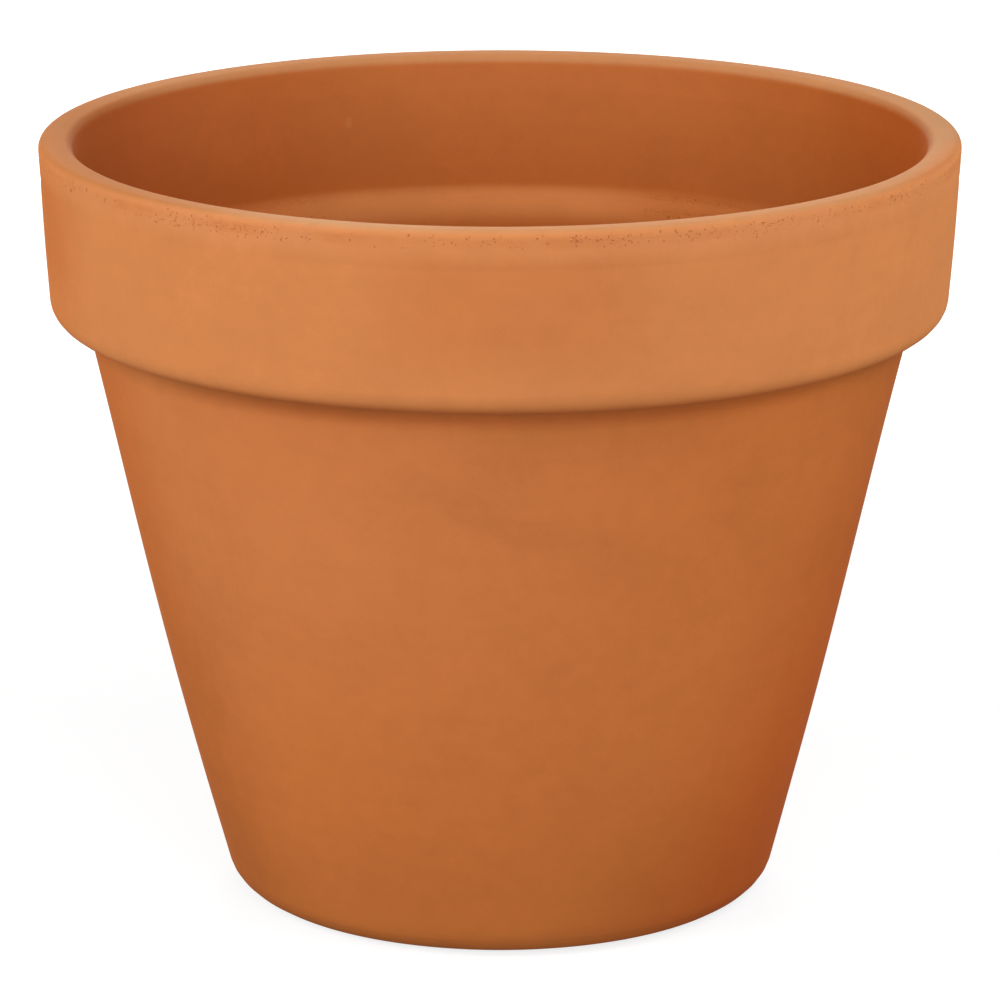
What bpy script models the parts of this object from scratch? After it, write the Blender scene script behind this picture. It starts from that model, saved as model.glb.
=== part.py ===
"""A collared terracotta flower pot: one body of fired clay, turned about the upright axis.

Lengths are in metres and +Z is up. The origin lies on the ground, in the middle of the foot.
The wall is drawn once as a closed section in the XZ plane, corner by corner, each corner with
the radius it is rounded to. Turning that section about Z gives the pot.
"""
import math

import bmesh
import bpy
from mathutils import Vector

# Overall form
RIM_RADIUS = 0.1525
HEIGHT = 0.2563

# Lip, the flat ring at the top of the collar
LIP_WIDTH = 0.0109
LIP_OUTER_ROUND = 0.0018
LIP_INNER_ROUND = 0.0027

# Collar, the thick band below the lip
COLLAR_HEIGHT = 0.0591
COLLAR_DRAFT = math.radians(3.71)
COLLAR_FOOT_ROUND = 0.0075

# Ledge, where the collar steps in to the body
LEDGE_WIDTH = 0.0110
LEDGE_FILLET = 0.0030

# Body, a cone from the ledge to the foot
FOOT_RADIUS = 0.0912
FOOT_ROUND = 0.0148
BODY_WALL = 0.0102

# Shoulder, the sloping step inside, behind the ledge
SHOULDER_RISE = 0.0117
SHOULDER_SLOPE = math.radians(29.0)
SHOULDER_COVE = 0.0050
SHOULDER_ROUND = 0.0100

# Floor, with a shallow hollow below it so that the pot stands on a ring
FLOOR_THICKNESS = 0.0105
FLOOR_COVE = 0.0120
FOOT_RING_WIDTH = 0.0190
HOLLOW_DEPTH = 0.0025
HOLLOW_EDGE_SLOPE = math.radians(40.0)
HOLLOW_EDGE_ROUND = 0.0030

# Drain hole in the middle of the floor
DRAIN_RADIUS = 0.0135
DRAIN_EDGE_ROUND = 0.0020

# Roundings and facets
SIDE_SHARE = 0.95
TURN_STEPS = 72
ARC_STEP = math.radians(20.0)
SMOOTH_LIMIT = math.radians(35.0)

# Unglazed clay
CLAY_COLOUR = (0.53, 0.19, 0.058, 1.0)
CLAY_ROUGHNESS = 0.85


def wall_section():
    """Corners of the clay wall as (radius, height, rounding), down the outside and back up the inside."""
    ledge_height = HEIGHT - COLLAR_HEIGHT
    collar_inset = math.tan(COLLAR_DRAFT)
    collar_foot_radius = RIM_RADIUS - COLLAR_HEIGHT * collar_inset
    body_top_radius = collar_foot_radius - LEDGE_WIDTH
    body_flare = (body_top_radius - FOOT_RADIUS) / ledge_height
    wall_across = BODY_WALL * math.hypot(1.0, body_flare)

    outer_corners = [
        (RIM_RADIUS, HEIGHT, LIP_OUTER_ROUND),
        (collar_foot_radius, ledge_height, COLLAR_FOOT_ROUND),
        (body_top_radius, ledge_height, LEDGE_FILLET),
        (FOOT_RADIUS, 0.0, FOOT_ROUND),
    ]

    foot_tangent = FOOT_ROUND * math.tan((math.pi / 2 - math.atan(body_flare)) / 2)
    ring_inner_radius = FOOT_RADIUS - foot_tangent - FOOT_RING_WIDTH
    hollow_radius = ring_inner_radius - HOLLOW_DEPTH / math.tan(HOLLOW_EDGE_SLOPE)
    floor_height = HOLLOW_DEPTH + FLOOR_THICKNESS
    floor_corners = [
        (ring_inner_radius, 0.0, HOLLOW_EDGE_ROUND),
        (hollow_radius, HOLLOW_DEPTH, HOLLOW_EDGE_ROUND),
        (DRAIN_RADIUS, HOLLOW_DEPTH, DRAIN_EDGE_ROUND),
        (DRAIN_RADIUS, floor_height, DRAIN_EDGE_ROUND),
    ]

    cove_height = ledge_height + SHOULDER_RISE
    cove_radius = RIM_RADIUS - LIP_WIDTH - (HEIGHT - cove_height) * collar_inset
    slope = math.tan(SHOULDER_SLOPE)
    foot_inner_radius = FOOT_RADIUS - wall_across
    shoulder_height = (cove_height - slope * (cove_radius - foot_inner_radius)) / (1.0 - slope * body_flare)
    inner_corners = [
        (foot_inner_radius + floor_height * body_flare, floor_height, FLOOR_COVE),
        (foot_inner_radius + shoulder_height * body_flare, shoulder_height, SHOULDER_ROUND),
        (cove_radius, cove_height, SHOULDER_COVE),
        (RIM_RADIUS - LIP_WIDTH, HEIGHT, LIP_INNER_ROUND),
    ]
    return outer_corners + floor_corners + inner_corners


def corner_tangent(before, corner, after, rounding):
    """How far from a corner its rounding starts, along each of the two sides that meet there."""
    half_angle = (before - corner).angle(after - corner) / 2
    return rounding / math.tan(half_angle)


def corner_arc(before, corner, after, tangent):
    """Points of the arc that rounds a corner, from the first side to the second."""
    to_before = (before - corner).normalized()
    to_after = (after - corner).normalized()
    half_angle = to_before.angle(to_after) / 2
    centre = corner + (to_before + to_after).normalized() * (tangent / math.cos(half_angle))
    start = corner + to_before * tangent - centre
    end = corner + to_after * tangent - centre
    sweep = end.angle_signed(start)
    first = math.atan2(start.y, start.x)
    steps = max(2, math.ceil(abs(sweep) / ARC_STEP))
    arc = []
    for step in range(steps + 1):
        turn = first + sweep * step / steps
        arc.append(centre + start.length * Vector((math.cos(turn), math.sin(turn))))
    return arc


def rounded_outline(corners):
    """The closed section with every corner rounded. Two roundings that meet on a short side share it."""
    places = [Vector((radius, height)) for radius, height, rounding in corners]
    following = places[1:] + places[:1]
    trios = list(zip(places[-1:] + places[:-1], places, following))
    tangents = [corner_tangent(*trio, corner[2]) for trio, corner in zip(trios, corners)]
    next_tangents = tangents[1:] + tangents[:1]
    fits = []
    for place, after, tangent, next_tangent in zip(places, following, tangents, next_tangents):
        fits.append(min(1.0, SIDE_SHARE * (after - place).length / (tangent + next_tangent)))
    outline = []
    for index, trio in enumerate(trios):
        outline.extend(corner_arc(*trio, tangents[index] * min(fits[index - 1], fits[index])))
    return outline


def clay_material():
    """Matte, unglazed fired clay."""
    material = bpy.data.materials.new("terracotta")
    material.use_nodes = True
    shader = material.node_tree.nodes["Principled BSDF"]
    shader.inputs["Base Color"].default_value = CLAY_COLOUR
    shader.inputs["Roughness"].default_value = CLAY_ROUGHNESS
    shader.inputs["Metallic"].default_value = 0.0
    material.diffuse_color = CLAY_COLOUR
    return material


def turned_pot():
    """The pot as one closed mesh, turned from the wall's section."""
    shape = bmesh.new()
    ring = [shape.verts.new((place.x, 0.0, place.y)) for place in rounded_outline(wall_section())]
    edges = []
    for index, vert in enumerate(ring):
        edges.append(shape.edges.new((vert, ring[(index + 1) % len(ring)])))
    bmesh.ops.spin(
        shape,
        geom=ring + edges,
        cent=(0.0, 0.0, 0.0),
        axis=(0.0, 0.0, 1.0),
        angle=math.tau,
        steps=TURN_STEPS,
        use_merge=True,
    )
    bmesh.ops.recalc_face_normals(shape, faces=shape.faces[:])
    mesh = bpy.data.meshes.new("pot")
    shape.to_mesh(mesh)
    shape.free()
    mesh.shade_smooth()
    mesh.set_sharp_from_angle(angle=SMOOTH_LIMIT)
    mesh.materials.append(clay_material())

    pot = bpy.data.objects.new("pot", mesh)
    bpy.context.scene.collection.objects.link(pot)


def main():
    for leftover in list(bpy.data.objects):
        bpy.data.objects.remove(leftover)
    turned_pot()


main()
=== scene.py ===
# %% [markdown]
# # A terracotta pot, dressed in Blender
# The pot on the bench is one piece of red clay: it was pressed in a mould, its lip was wiped with a wet
# sponge, and it was fired once and left bare. There is no glaze and no second part. What makes it look
# real is therefore small: soft corners of the right radius, a wall that isn't quite true, pinholes under
# the lip, and clay whose colour drifts from pale to deep. This lesson makes those one at a time. It
# starts by loading the plain solid of the pot, which gives the size and the place of all that follows.

# %% Load the frame
import math
import random

import bmesh
import bpy
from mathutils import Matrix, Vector, noise


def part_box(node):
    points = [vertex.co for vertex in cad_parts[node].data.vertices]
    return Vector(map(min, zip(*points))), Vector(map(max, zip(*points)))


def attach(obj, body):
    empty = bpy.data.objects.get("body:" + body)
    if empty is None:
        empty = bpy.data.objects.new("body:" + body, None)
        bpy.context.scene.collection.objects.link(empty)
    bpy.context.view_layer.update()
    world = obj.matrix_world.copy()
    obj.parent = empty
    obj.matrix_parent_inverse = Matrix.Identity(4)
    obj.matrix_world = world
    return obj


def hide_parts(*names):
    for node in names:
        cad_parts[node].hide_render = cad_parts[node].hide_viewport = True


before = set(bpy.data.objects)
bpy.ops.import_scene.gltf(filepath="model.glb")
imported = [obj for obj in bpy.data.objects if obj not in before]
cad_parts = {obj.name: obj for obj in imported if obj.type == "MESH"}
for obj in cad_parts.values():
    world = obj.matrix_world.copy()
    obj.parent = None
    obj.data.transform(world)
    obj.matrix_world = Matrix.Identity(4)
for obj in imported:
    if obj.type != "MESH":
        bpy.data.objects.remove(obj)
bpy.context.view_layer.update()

pot_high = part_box("pot")[1]
print("the pot is", round(2 * pot_high.x, 4), "m across and", round(pot_high.z, 4), "m high")

# %% [markdown]
# ## The camera
# The picture to match was taken with a long lens, a little above the rim, looking down at the middle of
# the pot. A camera could be aimed with a Track To constraint. Plain numbers are clearer here: a distance,
# a rise above the level and a dip of the lens.

# %% Camera
HEIGHT = pot_high.z
CAMERA_DISTANCE = 1.928
CAMERA_RISE = math.radians(15.11)
CAMERA_DIP = math.radians(15.03)
CAMERA_LENS = 206.3

bpy.ops.object.select_all(action="DESELECT")
bpy.ops.object.camera_add(
    location=(
        0.0,
        -CAMERA_DISTANCE * math.cos(CAMERA_RISE),
        HEIGHT / 2 + CAMERA_DISTANCE * math.sin(CAMERA_RISE),
    ),
    rotation=(math.pi / 2 - CAMERA_DIP, 0.0, 0.0),
)
camera = bpy.context.object
camera.data.lens = CAMERA_LENS
bpy.context.scene.camera = camera
print("the camera stands", round(camera.location.length, 3), "m from the foot of the pot")

# %% [markdown]
# ## The wall, as rings
# A potter's wall is a section turned about an axis. It could be spun from a drawn outline. Pulling it up
# ring by ring, with Extrude and Scale, is closer to how the clay moves, and every ring stays easy to
# select later. Each corner of the section is a ring: its radius, its level and the rounding that it gets
# in the next step. The lip isn't quite flat. Past a soft crest it falls a third of a millimetre towards
# the inside.

# %% Sizes of the lip, the collar and the ledge
RIM_RADIUS = 0.1525
RIM_RISE = 0.0002
LIP_WIDTH = 0.0112
LIP_OUTER_ROUND = 0.0026
LIP_CREST_INSET = 0.0048
LIP_CREST_ROUND = 0.0400
LIP_INNER_DROP = 0.00035
LIP_INNER_ROUND = 0.0034
COLLAR_HEIGHT = 0.0594
COLLAR_LEAN = math.tan(math.radians(3.71))
COLLAR_FOOT_ROUND = 0.0072
LEDGE_WIDTH = 0.0113
LEDGE_FILLET = 0.0030

rim_level = HEIGHT + RIM_RISE
ledge_level = HEIGHT - COLLAR_HEIGHT
collar_foot_radius = RIM_RADIUS - COLLAR_HEIGHT * COLLAR_LEAN
body_top_radius = collar_foot_radius - LEDGE_WIDTH
print("the collar's foot is", round(2000 * collar_foot_radius, 1), "mm across")

# %% Sizes of the body, the shoulder and the floor
FOOT_RADIUS = 0.0890
FOOT_ROUND = 0.0118
BODY_WALL = 0.0102
SHOULDER_RISE = 0.0117
SHOULDER_SLOPE = math.tan(math.radians(29.0))
SHOULDER_COVE = 0.0050
SHOULDER_ROUND = 0.0100
FLOOR_LEVEL = 0.0130
FLOOR_COVE = 0.0120
FOOT_RING_WIDTH = 0.0190
HOLLOW_DEPTH = 0.0025
HOLLOW_EDGE_WIDTH = 0.0030
HOLLOW_EDGE_ROUND = 0.0030
DRAIN_RADIUS = 0.0135
DRAIN_EDGE_ROUND = 0.0020

body_flare = (body_top_radius - FOOT_RADIUS) / ledge_level
inner_foot_radius = FOOT_RADIUS - BODY_WALL * math.hypot(1.0, body_flare)
foot_tangent = FOOT_ROUND * math.tan((math.pi / 2 - math.atan(body_flare)) / 2)
ring_radius = FOOT_RADIUS - foot_tangent - FOOT_RING_WIDTH
cove_level = ledge_level + SHOULDER_RISE
cove_radius = RIM_RADIUS - LIP_WIDTH - (HEIGHT - cove_level) * COLLAR_LEAN
slope_start = cove_level - SHOULDER_SLOPE * (cove_radius - inner_foot_radius)
shoulder_level = slope_start / (1.0 - SHOULDER_SLOPE * body_flare)
shoulder_radius = inner_foot_radius + shoulder_level * body_flare
print("the body flares", round(math.degrees(math.atan(body_flare)), 2), "degrees")

# %% Corners of the section
section = [
    (RIM_RADIUS, rim_level, LIP_OUTER_ROUND),
    (collar_foot_radius, ledge_level, COLLAR_FOOT_ROUND),
    (body_top_radius, ledge_level, LEDGE_FILLET),
    (FOOT_RADIUS, 0.0, FOOT_ROUND),
    (ring_radius, 0.0, HOLLOW_EDGE_ROUND),
    (ring_radius - HOLLOW_EDGE_WIDTH, HOLLOW_DEPTH, HOLLOW_EDGE_ROUND),
    (DRAIN_RADIUS, HOLLOW_DEPTH, DRAIN_EDGE_ROUND),
    (DRAIN_RADIUS, FLOOR_LEVEL, DRAIN_EDGE_ROUND),
    (inner_foot_radius + FLOOR_LEVEL * body_flare, FLOOR_LEVEL, FLOOR_COVE),
    (shoulder_radius, shoulder_level, SHOULDER_ROUND),
    (cove_radius, cove_level, SHOULDER_COVE),
    (RIM_RADIUS - LIP_WIDTH, rim_level - LIP_INNER_DROP, LIP_INNER_ROUND),
    (RIM_RADIUS - LIP_CREST_INSET, rim_level, LIP_CREST_ROUND),
]
print("the section has", len(section), "corners")

# %% Pull the rings
RING_SIDES = 288
TOUCH = 1e-6

bpy.ops.object.select_all(action="DESELECT")
bpy.ops.mesh.primitive_circle_add(vertices=RING_SIDES, radius=RIM_RADIUS, location=(0.0, 0.0, 0.0))
pot = bpy.context.object
pot.name = "clay_pot"
bpy.ops.object.mode_set(mode="EDIT")
bpy.ops.transform.translate(value=(0.0, 0.0, rim_level))
for corner, following in zip(section, section[1:]):
    spread = following[0] / corner[0]
    rise = following[1] - corner[1]
    bpy.ops.mesh.extrude_region_move(TRANSFORM_OT_translate={"value": (0.0, 0.0, rise)})
    bpy.ops.transform.resize(value=(spread, spread, 1.0), center_override=(0.0, 0.0, following[1]))
print("pulled", len(section), "rings")

# %% Close the lip
def choose(kind, test):
    """Select the vertices, edges or faces of the pot that pass a test, and nothing else."""
    bpy.ops.mesh.select_mode(type=kind)
    bpy.ops.mesh.select_all(action="DESELECT")
    shape = bmesh.from_edit_mesh(pot.data)
    things = {"VERT": shape.verts, "EDGE": shape.edges, "FACE": shape.faces}[kind]
    chosen = 0
    for thing in things:
        if test(thing):
            thing.select_set(True)
            chosen += 1
    shape.select_flush_mode()
    bmesh.update_edit_mesh(pot.data)
    return chosen


choose("EDGE", lambda edge: all(abs(vert.co.z - rim_level) < TOUCH for vert in edge.verts))
bpy.ops.mesh.bridge_edge_loops()
bpy.ops.mesh.select_all(action="SELECT")
bpy.ops.mesh.normals_make_consistent(inside=False)
print("the raw wall has", len(bmesh.from_edit_mesh(pot.data).faces), "faces")

# %% [markdown]
# ## Soft corners
# Wet clay has no sharp edge. A Bevel modifier would give one width to all corners. The Bevel operator,
# run once for each ring, gives the lip its small round, the collar's foot a fatter one and the pot's foot
# one that is wider still. Bevel asks for the distance from the corner, so each radius is turned into that
# first.

# %% Bevel each ring
ROUND_STEPS = 6
ROUND_PROFILE = 0.5


def setback(before, corner, after):
    """How far along its two sides the rounding of a corner starts."""
    to_before = Vector(before[:2]) - Vector(corner[:2])
    to_after = Vector(after[:2]) - Vector(corner[:2])
    return corner[2] / math.tan(to_before.angle(to_after) / 2)


def on_ring(radius, level):
    """A test that picks the edges of the ring at a radius and a level."""

    def test(edge):
        return all(
            abs(vert.co.z - level) < TOUCH and abs(vert.co.xy.length - radius) < TOUCH
            for vert in edge.verts
        )

    return test


for index, corner in enumerate(section):
    following = section[(index + 1) % len(section)]
    count = choose("EDGE", on_ring(corner[0], corner[1]))
    bpy.ops.mesh.bevel(
        offset=setback(section[index - 1], corner, following),
        offset_type="OFFSET",
        segments=ROUND_STEPS,
        profile=ROUND_PROFILE,
        affect="EDGES",
        clamp_overlap=False,
    )
    print("rounded a ring of", count, "edges to", round(1000 * corner[2], 1), "mm")

# %% [markdown]
# ## Rings to hold on to
# The long walls are still straight, with nothing between their ends to move. A loop cut would do, but it
# wants a window and a mouse. Bisect cuts a level ring through both walls at once, and it takes its place
# from a number. A few rings lie closer together where the sponge will leave its groove, a finger's width
# below the lip.

# %% Level rings
RING_GAP = 0.006
WIPE_LEVEL = HEIGHT - 0.0122
WIPE_RINGS = 5
WIPE_RING_GAP = 0.0010


def cut_ring(level):
    """Cut a level ring into every wall that crosses this level."""
    bpy.ops.mesh.select_all(action="SELECT")
    bpy.ops.mesh.bisect(plane_co=(0.0, 0.0, level), plane_no=(0.0, 0.0, 1.0))


for ring in range(1, int(WIPE_LEVEL / RING_GAP)):
    cut_ring(ring * RING_GAP)
for ring in range(WIPE_RINGS):
    cut_ring(WIPE_LEVEL + (ring - WIPE_RINGS // 2) * WIPE_RING_GAP)
print("with its rings the wall has", len(bmesh.from_edit_mesh(pot.data).faces), "faces")

# %% [markdown]
# ## Pinholes
# Just under the lip the sponge drags grit out of the clay and leaves a band of pinholes, dense in some
# stretches and thin in others. The step inside the collar has a few as well. A bump map would show dark
# dots with no depth. Here the clay is cut into cells of less than half a millimetre, and some of the
# cells are inset and pushed in.

# %% Where the clay is pitted
CELL_ROWS = 11
CELL_SIZE = 0.00042
BAND_START = 0.0024
BAND_TOP = HEIGHT - 0.0011
BAND_FOOT = HEIGHT - BAND_START - (CELL_ROWS - 1) * CELL_SIZE
BAND_WALL = 0.003
STEP_STRETCHES = [(138, 157, 0.055), (-152, -144, 0.020)]
STEP_WIDTH = 0.0095
STEP_DEPTH = 0.008


def turn_of(place):
    """Degrees around the pot from its front, to the right of the viewer."""
    return math.degrees(math.atan2(place.x, -place.y))


def under_lip(place):
    """Whether a place is in the pitted band on the outside, just under the lip."""
    return BAND_FOOT - TOUCH < place.z < BAND_TOP and place.xy.length > RIM_RADIUS - BAND_WALL


def step_share(place):
    """How much of the clay is pitted at a place on the step inside the collar."""
    turn = turn_of(place)
    outwards = place.xy.length - shoulder_radius
    if not 0.0 < outwards < STEP_WIDTH or abs(place.z - shoulder_level) > STEP_DEPTH:
        return 0.0
    return sum(share for start, end, share in STEP_STRETCHES if start < turn < end)


print("the pitted band is", round(1000 * (BAND_TOP - BAND_FOOT), 1), "mm high")

# %% Cut the cells
CELL_CUTS = 7
STEP_CUTS = 2


def pitted_ring(edge):
    """Whether an edge is level and runs through pitted clay."""
    first, last = edge.verts
    middle = (first.co + last.co) / 2
    return abs(first.co.z - last.co.z) < TOUCH and (under_lip(middle) or step_share(middle) > 0.0)


def step_rib(edge):
    """Whether an edge runs up the pitted step."""
    first, last = edge.verts
    return abs(first.co.z - last.co.z) > TOUCH and step_share((first.co + last.co) / 2) > 0.0


for row in range(CELL_ROWS):
    cut_ring(HEIGHT - BAND_START - row * CELL_SIZE)
rings = choose("EDGE", pitted_ring)
bpy.ops.mesh.subdivide(number_cuts=CELL_CUTS)
ribs = choose("EDGE", step_rib)
bpy.ops.mesh.subdivide(number_cuts=STEP_CUTS)
print("cut", rings, "sides of rings and", ribs, "ribs of the step into cells")

# %% [markdown]
# ## Dice for the pinholes
# Which cells become pinholes is left to chance, but the pot has to come out the same every time. One dice
# thrown for cell after cell won't do, because Bevel leaves the mesh in an order that changes from run to
# run. So every cell has a dice of its own, which depends only on its place, and the mesh is sorted before
# its points are moved.

# %% Dice and order
PIT_SEED = 7
CELL_TURN = 360.0 / (RING_SIDES * (CELL_CUTS + 1))
DICE_STEP = 0.0001
ORDER_STEP = 0.00001
ORDER_START = 0.05
ORDER_ROW = 10000


def thrown(place, throw):
    """The dice of one cell: a number from 0 to 1 that depends only on the cell and the throw."""
    cell = (PIT_SEED, throw, math.floor(turn_of(place) / CELL_TURN), round(place.z / DICE_STEP))
    return random.Random(repr(cell)).random()


def rank(place):
    """Where a place comes in the order of the mesh: level by level, and once around at each level."""
    turn = (turn_of(place) + ORDER_START) % 360.0
    return round(place.z / ORDER_STEP) * ORDER_ROW + round(2 * turn / CELL_TURN)


def put_in_order():
    """Sort the points, edges and faces of the pot by their rank."""
    shape = bmesh.from_edit_mesh(pot.data)
    shape.verts.sort(key=lambda vert: rank(vert.co))
    shape.edges.sort(key=lambda edge: rank((edge.verts[0].co + edge.verts[1].co) / 2))
    shape.faces.sort(key=lambda face: rank(face.calc_center_median()))
    bmesh.update_edit_mesh(pot.data)


print("there are", RING_SIDES * (CELL_CUTS + 1), "cells in a row around the pot")

# %% [markdown]
# ## Where the pinholes lie
# The sponge pressed harder in some places. Each stretch under the lip has a start and an end in degrees,
# a share of pinholes and the depth below the rim where most of them lie. At the sides and the back a soft
# noise sets the share. A painted mask could do this too, but a short list is easier to read and to
# change.

# %% Stretches of pinholes
LIP_STRETCHES = [
    (-62, -46, 0.2, 0.0042),
    (-46, -43, 0.6, 0.0044),
    (-43, -31, 1.6, 0.0044),
    (-31, -22, 1.0, 0.0040),
    (-22, -10, 0.2, 0.0034),
    (-10, 7, 0.6, 0.0033),
    (7, 30, 1.1, 0.0030),
    (30, 44, 1.3, 0.0030),
    (44, 48, 0.5, 0.0030),
    (48, 58, 1.4, 0.0030),
    (58, 70, 0.8, 0.0028),
]
BACK_SHARE = 0.3
BACK_SWING = 0.7
BACK_FINENESS = 20.0
BACK_DEPTH = 0.0034


def pit_share(place):
    """How densely the clay is pitted at a place under the lip, and how far down the pinholes lie."""
    turn = turn_of(place)
    for start, end, share, middle in LIP_STRETCHES:
        if start <= turn <= end:
            return share, middle
    return BACK_SHARE + BACK_SWING * max(0.0, noise.noise(BACK_FINENESS * place)), BACK_DEPTH


print("the front of the lip has", len(LIP_STRETCHES), "stretches of pinholes")

# %% Chance of a pinhole
PIT_CHANCE = 0.070
PIT_LIMIT = 4.0e-7
PIT_LEAST = 0.00024
CLUSTER_SIZE = 0.0075
CLUSTER_MEAN = 0.55
CLUSTER_SWING = 1.1
ROW_SPREAD = 0.0020


def is_pit(face, throw, earlier_pits):
    """Throw whether a cell is a pinhole: they come in loose clusters, mostly in the middle of the band."""
    place = face.calc_center_median()
    narrow = min(edge.calc_length() for edge in face.edges) < PIT_LEAST
    if narrow or face.calc_area() > PIT_LIMIT or face[earlier_pits] > 0.0:
        return False
    if step_share(place) > 0.0:
        return thrown(place, throw) < step_share(place)
    if not under_lip(place):
        return False
    share, middle = pit_share(place)
    cluster = CLUSTER_MEAN + CLUSTER_SWING * noise.noise(place / CLUSTER_SIZE)
    row = (place.z - (HEIGHT - middle)) / ROW_SPREAD
    return thrown(place, throw) < PIT_CHANCE * share * cluster * math.exp(-row * row)


print("at a share of 1 a pinhole of each size comes every", round(1 / (PIT_CHANCE * CLUSTER_MEAN)), "cells")

# %% [markdown]
# ## Pushing them in
# Real pinholes are ragged and of more than one size. The chosen cells are shaken a little, so that they
# are no longer squares in a row, and then Inset narrows them and pushes them in: small shallow ones
# first, large deep ones after. Each floor keeps a number that says how dark its painted shade is, which
# the clay reads later.

# %% Push the pinholes in
PIT_WANDER = 0.00009
PIT_GROUPS = [("small", 0.6, 0.00010, 0.00013), ("large", 1.0, 0.00003, 0.00021)]
PIT_FAINTEST = 0.5

shape = bmesh.from_edit_mesh(pot.data)
shape.faces.layers.float.new("pit")
bmesh.update_edit_mesh(pot.data)
for name, darkness, thickness, depth in PIT_GROUPS:
    put_in_order()
    earlier_pits = bmesh.from_edit_mesh(pot.data).faces.layers.float["pit"]
    count = choose("FACE", lambda face: is_pit(face, name, earlier_pits))
    bpy.ops.transform.vertex_random(offset=PIT_WANDER, uniform=1.0, normal=0.0, seed=PIT_SEED)
    bpy.ops.mesh.inset(thickness=thickness, depth=-depth)
    shape = bmesh.from_edit_mesh(pot.data)
    pit_layer = shape.faces.layers.float["pit"]
    for face in shape.faces:
        if face.select:
            shadow = PIT_FAINTEST + (1.0 - PIT_FAINTEST) * thrown(face.calc_center_median(), "darkness")
            face[pit_layer] = darkness * shadow
    bmesh.update_edit_mesh(pot.data)
    print("pushed in", count, name, "pinholes")

# %% [markdown]
# ## A wall that isn't quite true
# A pressed wall is never a perfect cone. The body bellies out by about two millimetres and the collar by
# a third of one, the sponge leaves a faint groove under the lip, the middle of the pot sways to the
# viewer's left and its foot a touch back to the right, and the lip stands a little high at the back
# right. A Lattice could bend the wall, but proportional editing does what a thumb does: it moves one ring
# and takes its neighbours along, less and less.

# %% Moves of a thumb
def choose_level(level):
    """Select the rings of the wall that lie at a level."""
    return choose("VERT", lambda vert: abs(vert.co.z - level) < TOUCH)


def nudge(move, reach, **change):
    """Run a transform on what is selected, and let its neighbours follow softly out to a reach."""
    move(use_proportional_edit=True, proportional_edit_falloff="SMOOTH", proportional_size=reach, **change)


def swell(level, amount, reach):
    """Let the wall swell by an amount at a level, or shrink if the amount is negative."""
    count = choose_level(level)
    widest = max(vert.co.xy.length for vert in bmesh.from_edit_mesh(pot.data).verts if vert.select)
    growth = 1.0 + amount / widest
    nudge(bpy.ops.transform.resize, reach, value=(growth, growth, 1.0), center_override=(0.0, 0.0, level))
    print("moved", count, "points at", round(1000 * level), "mm by", round(1000 * amount, 2), "mm")


def push(move, reach):
    """Push what is selected along a vector, out to a reach."""
    nudge(bpy.ops.transform.translate, reach, value=move)
    print("pushed the clay by", round(1000 * Vector(move).length, 2), "mm")


print("a thumb can swell the wall at a level, or push it")

# %% Belly, groove and sway
BODY_BELLY = 0.00195
BODY_BELLY_LEVEL = 0.060
BODY_BELLY_REACH = 0.145
COLLAR_BELLY = 0.0003
COLLAR_BELLY_LEVEL = 0.222
COLLAR_BELLY_REACH = 0.034
WIPE_DEPTH = 0.00014
WIPE_REACH = 0.0022
SWAY = (-0.0006, 0.0, 0.0)
SWAY_LEVEL = 0.126
SWAY_REACH = 0.140
FOOT_SWAY = (0.00015, 0.0, 0.0)
FOOT_SWAY_LEVEL = 0.006
FOOT_SWAY_REACH = 0.035
RIM_LIFT = (0.0, 0.0, 0.0004)
RIM_LIFT_PLACE = Vector((0.1330, 0.0620, HEIGHT))
RIM_LIFT_TOUCH = 0.004
RIM_LIFT_REACH = 0.17

swell(BODY_BELLY_LEVEL, BODY_BELLY, BODY_BELLY_REACH)
swell(COLLAR_BELLY_LEVEL, COLLAR_BELLY, COLLAR_BELLY_REACH)
swell(WIPE_LEVEL, -WIPE_DEPTH, WIPE_REACH)
choose_level(SWAY_LEVEL)
push(SWAY, SWAY_REACH)
choose_level(FOOT_SWAY_LEVEL)
push(FOOT_SWAY, FOOT_SWAY_REACH)
choose("VERT", lambda vert: (vert.co - RIM_LIFT_PLACE).length < RIM_LIFT_TOUCH)
push(RIM_LIFT, RIM_LIFT_REACH)
bpy.ops.object.mode_set(mode="OBJECT")

# %% [markdown]
# ## Taking the place of the plain solid
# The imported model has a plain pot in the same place. This one rides on the same body and stands for it.
# Its faces are shaded smooth up to an angle, so that walls look round and the edges of pinholes stay
# crisp. Shading all of it smooth would be quicker, but it would blur the pinholes.

# %% Smooth, and stand in for the plain solid
SMOOTH_LIMIT = math.radians(40.0)

bpy.ops.object.shade_smooth_by_angle(angle=SMOOTH_LIMIT)
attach(pot, "root")
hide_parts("pot")
pot.data.calc_loop_triangles()
print("the finished pot has", len(pot.data.loop_triangles), "triangles")

# %% [markdown]
# ## Writing shader sums in Python
# A clay finish is a handful of sums: this much of the pale clay here, a little less light there. Wired by
# hand they are a screen full of Math nodes. A small class around an output socket lets Python's own signs
# add them.

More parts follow.
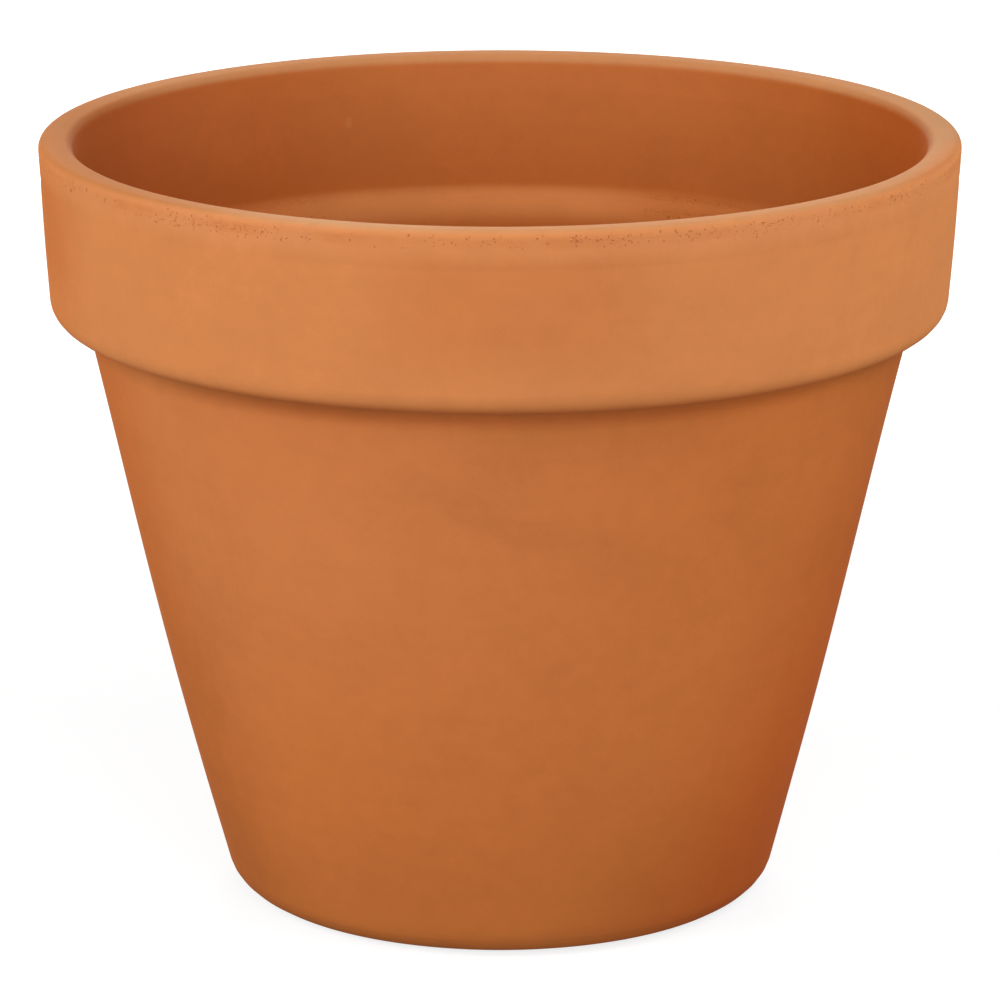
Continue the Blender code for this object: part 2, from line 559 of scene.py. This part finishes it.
# %% A wire that can be added and multiplied
class Wire:
    """An output socket that can stand in a Python sum."""

    tree = None

    def __init__(self, socket):
        self.socket = socket

    @classmethod
    def node(cls, kind, settings, sockets, output=0):
        """Add a node of a type, with its settings first and then a value or a wire for each socket."""
        added = cls.tree.nodes.new(kind)
        for name, value in settings.items():
            setattr(added, name, value)
        for name, value in sockets.items():
            if isinstance(value, Wire):
                cls.tree.links.new(value.socket, added.inputs[name])
            else:
                added.inputs[name].default_value = value
        return cls(added.outputs[output])

    @classmethod
    def sum(cls, operation, first, second):
        """Add a Math node."""
        return cls.node("ShaderNodeMath", {"operation": operation}, {0: first, 1: second})

    def __add__(self, other):
        return self.sum("ADD", self, other)

    def __sub__(self, other):
        return self.sum("SUBTRACT", self, other)

    def __rsub__(self, other):
        return self.sum("SUBTRACT", other, self)

    def __mul__(self, other):
        return self.sum("MULTIPLY", self, other)

    __radd__ = __add__
    __rmul__ = __mul__


print("a wire can be added, subtracted and multiplied")

# %% [markdown]
# ## Where a finish starts and ends
# On a fired pot no colour ends in a line: damp, dust and wear all fade out. A Color Ramp can fade, but it
# hides its numbers in the node. These helpers say the same with a start and an end, mostly in metres on
# the pot, and they lay one coat of clay over another as a brush would.

# %% Fades and coats
# Places of the colour sockets on a Mix node
MIX_FACTOR = 0
MIX_FIRST = 6
MIX_SECOND = 7
MIX_RESULT = 2


def fade(value, start, end):
    """A soft step: 0 up to the start, 1 from the end on."""
    return Wire.node(
        "ShaderNodeMapRange",
        {"interpolation_type": "SMOOTHSTEP"},
        {"Value": value, "From Min": start, "From Max": end},
    )


def blend(first, second, amount):
    """A colour between two colours."""
    return Wire.node(
        "ShaderNodeMix",
        {"data_type": "RGBA"},
        {MIX_FACTOR: amount, MIX_FIRST: first, MIX_SECOND: second},
        MIX_RESULT,
    )


def coats(ground, *layers):
    """Lay coats over a ground colour. Each has a colour, a strength and a wire that says where it lies."""
    for colour, strength, where in layers:
        ground = blend(ground, colour, strength * where)
    return ground


print("a coat of clay takes a colour, a strength and a place")

# %% [markdown]
# ## Fired clay
# Bare clay has no shine to speak of, so its colour does the work. The body is a deep orange. The collar
# was wiped and dried paler, the lip paler still, and the inside is darker. The finish could be painted on
# an image, but one read from the place on the pot has no seams and no edge to its detail. First come those
# places: across is to the right of the viewer, along is away from the viewer, and level is up.

# %% Places on the pot that the finish depends on
clay = bpy.data.materials.new("fired_clay")
clay.use_nodes = True
Wire.tree = clay.node_tree
clay_shader = clay.node_tree.nodes["Principled BSDF"]

place = Wire.node("ShaderNodeTexCoord", {}, {}, "Object")
across = Wire.node("ShaderNodeSeparateXYZ", {}, {"Vector": place}, "X")
along = Wire.node("ShaderNodeSeparateXYZ", {}, {"Vector": place}, "Y")
level = Wire.node("ShaderNodeSeparateXYZ", {}, {"Vector": place}, "Z")
normal = Wire.node("ShaderNodeNewGeometry", {}, {}, "Normal")
from_axis = Wire.node("ShaderNodeVectorMath", {"operation": "MULTIPLY"}, {0: place, 1: (1.0, 1.0, 0.0)})
radius = Wire.node("ShaderNodeVectorMath", {"operation": "LENGTH"}, {0: from_axis}, "Value")
outwards = Wire.node("ShaderNodeVectorMath", {"operation": "NORMALIZE"}, {0: from_axis})
facing = Wire.node("ShaderNodeVectorMath", {"operation": "DOT_PRODUCT"}, {0: normal, 1: outwards}, "Value")
upwards = Wire.node("ShaderNodeSeparateXYZ", {}, {"Vector": normal}, "Z")
pit = Wire.node("ShaderNodeAttribute", {"attribute_name": "pit"}, {}, "Fac")
print("the finish reads its places from", len(clay.node_tree.nodes), "nodes")

# %% [markdown]
# ## Blotches, streaks and speckle
# Fired clay is never one colour. It has drifts as wide as a hand, blotches, a fine mottle, sand, and
# faint level streaks from turning. One noise with many octaves would mix them all at fixed strengths.
# Separate noises, each with its size in metres, can be weighed one by one.

# %% Noise of five sizes
DRIFT_SIZE = 0.090
BLOTCH_SIZE = 0.028
MOTTLE_SIZE = 0.0065
SPECKLE_SIZE = 0.0012
STREAK_SIZE = 0.008
STREAK_STRETCH = (0.12, 0.12, 2.4)
FINE_ROUGHNESS = 0.6


def clouds(place, size, detail, roughness=0.5):
    """Soft noise between 0 and 1 with blotches of about this size in metres."""
    return Wire.node(
        "ShaderNodeTexNoise",
        {"noise_dimensions": "3D"},
        {"Vector": place, "Scale": 1.0 / size, "Detail": detail, "Roughness": roughness},
    )


drift = clouds(place, DRIFT_SIZE, detail=2.0)
blotches = clouds(place, BLOTCH_SIZE, detail=3.0)
mottle = clouds(place, MOTTLE_SIZE, detail=4.0, roughness=FINE_ROUGHNESS)
speckle = clouds(place, SPECKLE_SIZE, detail=2.0, roughness=FINE_ROUGHNESS)
stretched = Wire.node("ShaderNodeVectorMath", {"operation": "MULTIPLY"}, {0: place, 1: STREAK_STRETCH})
streaks = clouds(stretched, STREAK_SIZE, detail=3.0)
print("the noises run from", 1000 * SPECKLE_SIZE, "to", 1000 * DRIFT_SIZE, "mm")

# %% [markdown]
# ## The clay of the body
# The body is painted paler on its lit left front, as painted light, and deeper low on the right, away
# from the light, as painted shade. Its left end is painted darker too, and under the ledge lies a dark
# line of painted shadow, where the collar shades the body. Painting would mix these for good. Here each
# is a coat with a place of its own, so that one can be changed and the others stay.

# %% Sides of the body
FRONT_ENDS = (-0.02, 0.02)
LEFT_END_ALONG = (-0.080, -0.030)
LEFT_END_ACROSS = (-0.02, -0.06)
LIGHT_DIRECTION = (0.77, 0.64)
LIT_REACH = (0.02, -0.12)
LIT_LEVELS = (0.03, 0.15)
SHADE_DIRECTION = (0.90, -0.45)
SHADE_REACH = (0.005, 0.076)
SHADE_BACK = (-0.015, 0.045)

front = 1.0 - fade(along, *FRONT_ENDS)
# Painted shade: darker towards the left edge of the body and the collar.
shaded_left_end = fade(along, *LEFT_END_ALONG) * fade(across, *LEFT_END_ACROSS) * front
# Painted light: the lit left front of the body is paler.
lit_line = LIGHT_DIRECTION[0] * across + LIGHT_DIRECTION[1] * along
lit_side = fade(lit_line, *LIT_REACH) * fade(level, *LIT_LEVELS)
# Painted shade: the body is deeper low on the right, away from the light.
shade_line = SHADE_DIRECTION[0] * across + SHADE_DIRECTION[1] * level
shaded_side = fade(shade_line, *SHADE_REACH) * (1.0 - fade(along, *SHADE_BACK))
print("with the sides of the body the clay has", len(clay.node_tree.nodes), "nodes")

# %% Coats of the body
BODY_CLAY = (0.519, 0.154, 0.0345, 1.0)
LIT_BODY_CLAY = (0.530, 0.174, 0.049, 1.0)
# A shaded copy of the body clay, used only for painted shade.
SHADED_CLAY = (0.396, 0.0823, 0.0135, 1.0)
DUST = (0.640, 0.270, 0.110, 1.0)
COLLAR_STARTS = (ledge_level - 0.004, ledge_level + 0.006)
CREVICE_STARTS = (ledge_level - 0.0090, ledge_level - 0.0035)
CREVICE_ALONG = (-0.070, -0.130)
PALE_PATCH = ((-0.057, 0.146), 0.0100, 0.0316)


def spot(middle, core, edge, squash=1.0):
    """A round spot on the wall, as the viewer sees it: 1 in its core and 0 past its edge."""
    off_across = across - middle[0]
    off_level = level - middle[1]
    return 1.0 - fade(off_across * off_across + squash * (off_level * off_level), core ** 2, edge ** 2)


collar = fade(level, *COLLAR_STARTS)
# Painted shadow: a dark line on the body just under the collar's ledge.
crevice_shade = fade(level, *CREVICE_STARTS) * (1.0 - collar) * fade(along, *CREVICE_ALONG)
body = coats(
    BODY_CLAY,
    (LIT_BODY_CLAY, 1.0, lit_side * (1.0 - shaded_left_end)),
    (SHADED_CLAY, 1.0, shaded_side),
    (SHADED_CLAY, 0.30, shaded_left_end),
    (SHADED_CLAY, 0.48, crevice_shade),
    (DUST, 0.04, spot(*PALE_PATCH) * front),
)
print("with the body the clay has", len(clay.node_tree.nodes), "nodes")

# %% [markdown]
# ## The clay of the collar
# The collar was handled and wiped. Its middle is rubbed a little darker, the strip that the sponge passed
# over is dusty and pale, and a thin broken stain runs just under the lip. Its left end and its upper left
# get painted shade. A fade by level alone would give the strip a ruled edge, so here it follows the
# blotches up and down.

# %% Places on the collar
WIPED_STARTS = (HEIGHT - 0.0105, HEIGHT - 0.0035)
WIPED_WANDER = 0.004
WIPED_MIDDLE = (0.0, 0.0316, 0.0648)
WIPED_ENDS = (0.0, 0.0975, 0.1140)
RUBBED_MIDDLE = (0.004, 0.0141, 0.0510)
RUBBED_LEVELS = (0.204, 0.226)
STAIN_LEVELS = (HEIGHT - 0.0036, 0.0, 0.00245)
STAIN_BLOTCHES = (0.45, 0.65)
UPPER_LEFT_ACROSS = (-0.128, -0.146)
UPPER_LEFT_LEVELS = (0.208, 0.225, 0.242, 0.253)


def near(value, middle, core, edge):
    """1 around a middle, out to the core on both sides, fading to 0 at the edge."""
    off = value - middle
    return 1.0 - fade(off * off, core ** 2, edge ** 2)


def between(value, start, full, last, end):
    """1 from full to last, fading to 0 at the start and at the end."""
    return fade(value, start, full) * (1.0 - fade(value, last, end))


wiped = fade(level + WIPED_WANDER * blotches, *WIPED_STARTS)
dustier = near(across, *WIPED_ENDS) * (1.0 - near(across, *WIPED_MIDDLE))
rubbed = near(across, *RUBBED_MIDDLE) * front * fade(level, *RUBBED_LEVELS) * (1.0 - wiped)
stained = near(level, *STAIN_LEVELS) * fade(blotches, *STAIN_BLOTCHES)
# Painted shade: the upper left of the collar is darker towards its edge.
shaded_upper_left = fade(across, *UPPER_LEFT_ACROSS) * between(level, *UPPER_LEFT_LEVELS)
print("with its places on the collar the clay has", len(clay.node_tree.nodes), "nodes")

# %% Coats of the collar
COLLAR_CLAY = (0.556, 0.204, 0.064, 1.0)
RUBBED_CLAY = (0.524, 0.179, 0.053, 1.0)

band = coats(
    COLLAR_CLAY,
    (RUBBED_CLAY, 1.0, rubbed),
    # Painted shade at the left end of the collar.
    (BODY_CLAY, 0.70, shaded_left_end),
    (DUST, 0.16, (1.0 + dustier) * wiped),
    (RUBBED_CLAY, 0.60, stained),
    (SHADED_CLAY, 0.22, shaded_upper_left),
)
print("with the collar the clay has", len(clay.node_tree.nodes), "nodes")

# %% [markdown]
# ## The clay inside
# The inside wasn't wiped, and it is a darker clay, redder to the left. Both ends, the far left corner and
# the low left of the wall are painted darker, as painted shade where the walls keep the light out. High
# on the back wall it is painted paler, as painted light, the step has dust and painted light, and there
# is one small scuff.

# %% Places inside
INSIDE_FACING = (-0.6, -0.1)
STEP_UPWARDS = (0.15, 0.75)
STEP_LEVELS = (0.15, 0.18, 0.23, 0.24)
STEP_LEFT = (-0.120, -0.050)
STEP_RIGHT = (0.030, 0.068)
STEP_RIGHT_LOSS = 0.7
LOW_LEFT_LEAN = 0.61
LOW_LEFT_REACH = (0.171, 0.157)
LOW_LEFT_ACROSS = (-0.040, -0.070)

inside = 1.0 - fade(facing, *INSIDE_FACING)
step = fade(upwards, *STEP_UPWARDS) * between(level, *STEP_LEVELS)
# Dust on the step, with painted light where its top catches the light.
step_dust_and_light = step * (1.0 - STEP_RIGHT_LOSS * fade(across, *STEP_RIGHT)) * fade(across, *STEP_LEFT)
# Painted shade low on the left of the inner wall, next to the front lip.
shaded_low_left = fade(level + LOW_LEFT_LEAN * across, *LOW_LEFT_REACH) * fade(across, *LOW_LEFT_ACROSS)
print("with its places inside the clay has", len(clay.node_tree.nodes), "nodes")

# %% Coats inside
INNER_CLAY = (0.470, 0.130, 0.0265, 1.0)
RED_INNER_CLAY = (0.482, 0.120, 0.0215, 1.0)
SHADED_INNER_CLAY = (0.395, 0.075, 0.0108, 1.0)
SHADED_RIGHT_INNER_CLAY = (0.405, 0.090, 0.0127, 1.0)
SHADED_LEFT_INNER_CLAY = (0.300, 0.066, 0.0085, 1.0)
STEP_DUST_AND_LIGHT = (0.640, 0.263, 0.088, 1.0)
RED_ACROSS = (-0.045, -0.090)
RIGHT_ACROSS = (-0.02, 0.02)
INNER_MIDDLE = (0.0, 0.0894, 0.1414)
BROWN_ACROSS = (-0.118, -0.142)
LIT_HIGH_LEVELS = (0.205, 0.245)
LIT_HIGH_MIDDLE = (-0.030, 0.0775, 0.1342)
SCUFF = ((-0.0535, 0.2343), 0.0, 0.0015, 0.3)
SCUFF_ALONG = (0.02, 0.06)

# Painted shade: both ends of the inner wall are darker, where the walls keep the light out.
shaded_inner_ends = blend(SHADED_INNER_CLAY, SHADED_RIGHT_INNER_CLAY, fade(across, *RIGHT_ACROSS))
inner = coats(
    INNER_CLAY,
    (RED_INNER_CLAY, 1.0, fade(across, *RED_ACROSS)),
    (shaded_inner_ends, 1.0, 1.0 - near(across, *INNER_MIDDLE)),
    # Painted shade in the far left corner and low on the left of the inner wall.
    (SHADED_LEFT_INNER_CLAY, 0.75, fade(across, *BROWN_ACROSS)),
    (SHADED_LEFT_INNER_CLAY, 0.20, shaded_low_left * (1.0 - step)),
    # Painted light: the upper middle of the inner wall is paler.
    (DUST, 0.11, fade(level, *LIT_HIGH_LEVELS) * near(across, *LIT_HIGH_MIDDLE)),
    (DUST, 0.20, spot(*SCUFF) * fade(along, *SCUFF_ALONG)),
    (STEP_DUST_AND_LIGHT, 0.45, step_dust_and_light),
)
print("with the inside the clay has", len(clay.node_tree.nodes), "nodes")

# %% [markdown]
# ## The clay of the lip
# The lip was wiped last and is the palest place, greyer on the right and deeper on the left, with painted
# shade on its inner rounding at the left. It needs an edge: the top is found by its normal and its radius,
# and at the back, where the viewer sees the inner rounding, that rounding is taken in as well. A second
# material on the top faces would be simpler, but it would end in a line.

# %% Top of the lip
LIP_UPWARDS = (0.10, 0.70)
LIP_OUTER_EDGE = (RIM_RADIUS - 0.0020, RIM_RADIUS)
LIP_LEVELS = (HEIGHT - 0.007, HEIGHT - 0.002)
INNER_EDGE_UPWARDS = (0.05, 0.55)
INNER_EDGE_FACING = (-0.30, -0.02)
INNER_EDGE_ALONG = (0.110, 0.146)
ROUNDING_RADII = (RIM_RADIUS - LIP_WIDTH, RIM_RADIUS - LIP_WIDTH + 0.0034)
ROUNDING_MIDDLE = (0.0, 0.1118, 0.1360)
ROUNDING_LOSS = 0.5

# The inner rounding of the lip.
lip_inner_rounding = 1.0 - fade(radius, *ROUNDING_RADII)
lip_top = fade(upwards, *LIP_UPWARDS) * (1.0 - fade(radius, *LIP_OUTER_EDGE))
lip_top = lip_top * (1.0 - ROUNDING_LOSS * lip_inner_rounding * (1.0 - near(across, *ROUNDING_MIDDLE)))
inner_edge = fade(upwards, *INNER_EDGE_UPWARDS) * (1.0 - fade(facing, *INNER_EDGE_FACING))
inner_edge = inner_edge * fade(along, *INNER_EDGE_ALONG)
lip = Wire.sum("MAXIMUM", lip_top, inner_edge) * fade(level, *LIP_LEVELS)
print("with the top of the lip the clay has", len(clay.node_tree.nodes), "nodes")

# %% Coats of the lip
LIP_CLAY = (0.506, 0.222, 0.087, 1.0)
PALE_LIP_CLAY = (0.526, 0.250, 0.106, 1.0)
DEEP_LIP_CLAY = (0.428, 0.157, 0.047, 1.0)
GREY_LIP_CLAY = (0.462, 0.214, 0.086, 1.0)
BACK_LIP_CLAY = (0.515, 0.218, 0.083, 1.0)
SHADED_ROUNDING_LEFT = (-0.100, -0.135)
PALE_LIP_MIDDLE = (-0.050, 0.0141, 0.0447)
DEEP_LIP_TURN = 0.15
DEEP_LIP_REACH = (-0.078, -0.140)
GREY_LIP_ACROSS = (0.080, 0.145)
GREY_LIP_ALONG = (-0.045, -0.010)
GREY_LIP_FRONT = 0.4
BACK_LIP_ALONG = (0.03, 0.12)
OUTER_LIP_RADII = (RIM_RADIUS - 0.0080, RIM_RADIUS - 0.0010)
OUTER_LIP_ALONG = (-0.004, -0.026)
OUTER_LIP_RIGHT = (0.118, 0.136)
OUTER_LIP_LEFT = (-0.118, -0.136)
RIGHT_RUB = 0.75
LEFT_RUB = 0.30

grey_side = GREY_LIP_FRONT + (1.0 - GREY_LIP_FRONT) * fade(along, *GREY_LIP_ALONG)
outer_lip = fade(radius, *OUTER_LIP_RADII) * fade(along, *OUTER_LIP_ALONG)
outer_ends = RIGHT_RUB * fade(across, *OUTER_LIP_RIGHT) + LEFT_RUB * fade(across, *OUTER_LIP_LEFT)
rim = coats(
    LIP_CLAY,
    (PALE_LIP_CLAY, 1.0, near(across, *PALE_LIP_MIDDLE) * front),
    (DEEP_LIP_CLAY, 1.0, fade(across + DEEP_LIP_TURN * along, *DEEP_LIP_REACH)),
    # Painted shade on the inner rounding of the lip at the left, which faces away from the light.
    (DEEP_LIP_CLAY, 0.60, lip_inner_rounding * fade(across, *SHADED_ROUNDING_LEFT)),
    (GREY_LIP_CLAY, 1.0, fade(across, *GREY_LIP_ACROSS) * grey_side),
    (BACK_LIP_CLAY, 1.0, fade(along, *BACK_LIP_ALONG)),
    (RUBBED_CLAY, 1.0, outer_lip * outer_ends),
)
print("with the lip the clay has", len(clay.node_tree.nodes), "nodes")

# %% [markdown]
# ## Putting the clays together
# Now each clay goes to its place: the collar over the body, with painted shade along its foot, then the
# inside, then the lip. Light and dark come last. They are one sum of the noises, a faint smudge across the
# belly, a soft darker spot beside it, and painted shade under the ledge, towards the bottom, on the right
# side and low on the left; it scales the colour, because a coat of black would turn the clay grey. The
# floors of the pinholes get a dark clay of their own, as painted shade.

# %% Light and dark
SMUDGE_START = 0.1572
SMUDGE_LEAN = 0.427
SMUDGE_BEND = 3.65
SMUDGE_WIDTH = 0.00775
SMUDGE_LEAST = 0.5
SMUDGE_ACROSS = (-0.050, -0.015, 0.010, 0.075)
SOFT_SHADE = ((-0.008, 0.166), 0.0, 0.0374, 2.0)
LEFT_FOOT_SHADE_ACROSS = (-0.066, -0.092)
LEFT_FOOT_SHADE_LEVELS = (0.095, 0.135)
FOOT_SHADE_LEVELS = (0.015, 0.060)
RIGHT_SHADE_ACROSS = (0.058, 0.088)
RIGHT_SHADE_LEVELS = (0.100, 0.135, 0.170, 0.190)
PLAIN_TONE = 0.775


def mixture(start, *shares):
    """A number plus a share of each wire."""
    for share, wire in shares:
        start = start + share * wire
    return start


smudge_line = level + SMUDGE_LEAN * across - SMUDGE_BEND * across * across
smudge = near(smudge_line, SMUDGE_START, 0.0, SMUDGE_WIDTH) * front * (SMUDGE_LEAST + blotches)
tone = mixture(
    PLAIN_TONE,
    (0.09, drift),
    (0.12, blotches),
    (0.14, mottle),
    (0.04, streaks),
    (0.06, speckle),
    (-0.040, smudge * between(across, *SMUDGE_ACROSS)),
    (-0.030, spot(*SOFT_SHADE) * front),
    # Painted shadow under the ledge, then painted shade towards the bottom, on the right side and low on
    # the left.
    (-0.030, crevice_shade),
    (-0.060, 1.0 - fade(level, *FOOT_SHADE_LEVELS)),
    (-0.065, fade(across, *RIGHT_SHADE_ACROSS) * between(level, *RIGHT_SHADE_LEVELS) * front),
    (-0.040, fade(across, *LEFT_FOOT_SHADE_ACROSS) * (1.0 - fade(level, *LEFT_FOOT_SHADE_LEVELS)) * front),
)
print("with light and dark the clay has", len(clay.node_tree.nodes), "nodes")

# %% Colour of the clay
COLLAR_FOOT_SHADE_LEVELS = (ledge_level - 0.001, ledge_level, ledge_level + 0.0004, ledge_level + 0.0036)
PIT_SHADE_CLAY = (0.340, 0.088, 0.017, 1.0)
PIT_SHADE_STRENGTH = 0.75

colour = coats(
    body,
    (band, 1.0, collar),
    # Painted shade along the underside of the collar's foot.
    (SHADED_CLAY, 0.42, between(level, *COLLAR_FOOT_SHADE_LEVELS)),
    (inner, 1.0, inside),
    (rim, 1.0, lip),
)
colour = Wire.node("ShaderNodeVectorMath", {"operation": "SCALE"}, {0: colour, "Scale": tone})
# Painted shade on the floors of the pinholes, on top of the shade that their depth gives.
colour = blend(colour, PIT_SHADE_CLAY, PIT_SHADE_STRENGTH * pit)
Wire.tree.links.new(colour.socket, clay_shader.inputs["Base Color"])
print("with its colour the clay has", len(clay.node_tree.nodes), "nodes")

# %% [markdown]
# ## Grain
# A hand would feel sand in the surface, too fine to model. Displacement would need millions of faces. A
# Bump node gives the same change of light, from the noises that colour the clay, so that dark grains are
# also low ones. Fired clay scatters light evenly, so it has a rough diffuse and hardly any gloss.

# %% Grain of the clay
CLAY_GLOSS = 0.12
CLAY_SCATTER = 0.6
CLAY_ROUGHNESS = 0.84
GRAIN_STRENGTH = 0.35
GRAIN_DEPTH = 0.0004

roughness = mixture(CLAY_ROUGHNESS, (0.06, blotches), (0.06, mottle))
Wire.tree.links.new(roughness.socket, clay_shader.inputs["Roughness"])
clay_shader.inputs["Specular IOR Level"].default_value = CLAY_GLOSS
clay_shader.inputs["Diffuse Roughness"].default_value = CLAY_SCATTER
grain = 0.55 * mottle + 0.30 * speckle + 0.35 * streaks
grain_normal = Wire.node(
    "ShaderNodeBump", {}, {"Strength": GRAIN_STRENGTH, "Distance": GRAIN_DEPTH, "Height": grain}
)
Wire.tree.links.new(grain_normal.socket, clay_shader.inputs["Normal"])
pot.data.materials.append(clay)
print("the finished clay has", len(clay.node_tree.nodes), "nodes")

# %% [markdown]
# ## The paper floor
# The pot stands on white paper. A plain white plane would throw more light up at the pot than the paper
# in the picture did. So the camera sees this one bright, straight or in a reflection, with the pot's
# shadow on it, and stray light finds it grey. It gets whiter further off, where it meets the white of the
# room. Under the foot it doesn't glow and lets stray light through, and from below it is clear. The drain
# hole then looks dark from above, and the underside of the pot gets some light.

# %% Floor
PAPER_SIZE = 12.0
PAPER_LEVEL = -0.0001

bpy.ops.object.select_all(action="DESELECT")
bpy.ops.mesh.primitive_plane_add(size=PAPER_SIZE, location=(0.0, 0.0, PAPER_LEVEL))
floor = bpy.context.object
floor.name = "floor"
print("the paper is", PAPER_SIZE, "m wide")

# %% Paper
PAPER_BOUNCE = 0.18
PAPER_GLOW = 0.78
PAPER_SHADOW = 0.30
PAPER_CLEARS = (0.30, 0.90)
FOOT_EDGE = (FOOT_RADIUS - FOOT_ROUND - 0.004, FOOT_RADIUS - FOOT_ROUND)

paper = bpy.data.materials.new("white_paper")
paper.use_nodes = True
Wire.tree = paper.node_tree
Wire.tree.nodes.clear()


def seen_directly():
    """1 for rays from the camera, straight or by way of gloss or glass, and 0 for stray light."""
    camera_ray = Wire.node("ShaderNodeLightPath", {}, {}, "Is Camera Ray")
    glossy_ray = Wire.node("ShaderNodeLightPath", {}, {}, "Is Glossy Ray")
    through_ray = Wire.node("ShaderNodeLightPath", {}, {}, "Is Transmission Ray")
    return Wire.sum("MAXIMUM", camera_ray, Wire.sum("MAXIMUM", glossy_ray, through_ray))


def grey(value):
    """A grey of this brightness."""
    return (value, value, value, 1.0)


clear = Wire.node("ShaderNodeBsdfTransparent", {}, {})
paper_place = Wire.node("ShaderNodeTexCoord", {}, {}, "Object")
from_pot = Wire.node("ShaderNodeVectorMath", {"operation": "LENGTH"}, {0: paper_place}, "Value")
beyond_foot = fade(from_pot, *FOOT_EDGE)
bounce = Wire.node("ShaderNodeBsdfDiffuse", {}, {"Color": grey(PAPER_BOUNCE)})
bounce = Wire.node("ShaderNodeMixShader", {}, {0: beyond_foot, 1: clear, 2: bounce})
brightness = (PAPER_GLOW + (1.0 - PAPER_GLOW) * fade(from_pot, *PAPER_CLEARS)) * beyond_foot
glow = Wire.node("ShaderNodeEmission", {}, {"Color": blend(grey(0.0), grey(1.0), brightness)})
shadowed = Wire.node("ShaderNodeBsdfDiffuse", {}, {"Color": grey(PAPER_SHADOW)})
bright = Wire.node("ShaderNodeAddShader", {}, {0: glow, 1: shadowed})
paper_face = Wire.node("ShaderNodeMixShader", {}, {0: seen_directly(), 1: bounce, 2: bright})
under_side = Wire.node("ShaderNodeNewGeometry", {}, {}, "Backfacing")
paper_sheet = Wire.node("ShaderNodeMixShader", {}, {0: under_side, 1: paper_face, 2: clear})
paper_output = paper.node_tree.nodes.new("ShaderNodeOutputMaterial")
Wire.tree.links.new(paper_sheet.socket, paper_output.inputs["Surface"])
floor.data.materials.append(paper)
print("the paper has", len(paper.node_tree.nodes), "nodes")

# %% [markdown]
# ## Light
# A small studio: a white room that the camera sees at full strength and that lights the pot only a
# little, and four soft boxes. The strongest near one is on the left, one hangs high on the right, a low
# one stands in front and one further off behind. A single sun would be simpler, but its hard shadow isn't
# in the picture.

# %% World
AMBIENT = 0.22

world = bpy.data.worlds.new("studio")
world.use_nodes = True
Wire.tree = world.node_tree
strength = AMBIENT + (1.0 - AMBIENT) * seen_directly()
background = world.node_tree.nodes["Background"]
background.inputs["Color"].default_value = grey(1.0)
Wire.tree.links.new(strength.socket, background.inputs["Strength"])
bpy.context.scene.world = world
bpy.context.scene.view_settings.view_transform = "Standard"
print("the room lights the pot at", AMBIENT, "of its white")

# %% Soft boxes
SOFT_BOXES = [
    ("left_box", -60, 25, 1.1, 0.7, 9.26),
    ("right_high_box", 60, 45, 1.1, 0.7, 5.42),
    ("front_box", 15, 15, 1.1, 0.7, 6.83),
    ("back_box", 180, 15, 1.8, 0.6, 13.0),
]

aim = Vector((0.0, 0.0, HEIGHT / 2))
for name, turn, rise, distance, size, power in SOFT_BOXES:
    turn = math.radians(turn)
    rise = math.radians(rise)
    away = Vector((math.sin(turn) * math.cos(rise), -math.cos(turn) * math.cos(rise), math.sin(rise)))
    bpy.ops.object.light_add(type="AREA", location=aim + distance * away)
    box = bpy.context.object
    box.name = name
    box.data.size = size
    box.data.energy = power
    box.rotation_euler = away.to_track_quat("Z", "Y").to_euler()
print("the studio has", len(SOFT_BOXES), "soft boxes")
